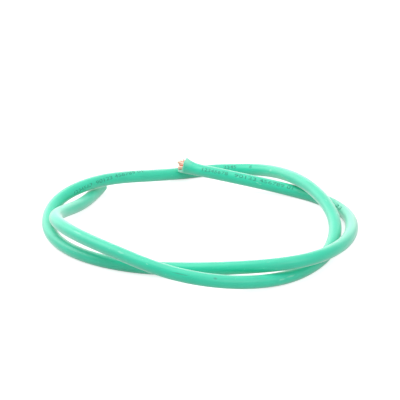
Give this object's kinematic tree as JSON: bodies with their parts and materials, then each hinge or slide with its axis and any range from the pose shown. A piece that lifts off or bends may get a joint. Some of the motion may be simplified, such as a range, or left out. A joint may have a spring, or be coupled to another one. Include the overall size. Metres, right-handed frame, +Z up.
{
  "type": "coil of stranded building wire",
  "caption": "Loose free-standing ring of green PVC-insulated stranded copper building wire, nearly two turns that weave over and under each other, with both ends cut bare.",
  "frame": {"origin": "bottom centre of the coil's box, on the surface that the coil lies on", "axes": "+X across the coil to the right, +Y to the back, where both cut ends are, +Z up"},
  "size_m": [0.1908, 0.1854, 0.0205],
  "materials": {
    "insulation_pvc": "satin extruded PVC",
    "copper": "bright drawn copper, freshly cut"
  },
  "bodies": {
    "root": {"insulation": "insulation_pvc", "centre_wire": "copper", "outer_wire_1": "copper", "outer_wire_2": "copper", "outer_wire_3": "copper", "outer_wire_4": "copper", "outer_wire_5": "copper", "outer_wire_6": "copper"}
  },
  "joints": []
}
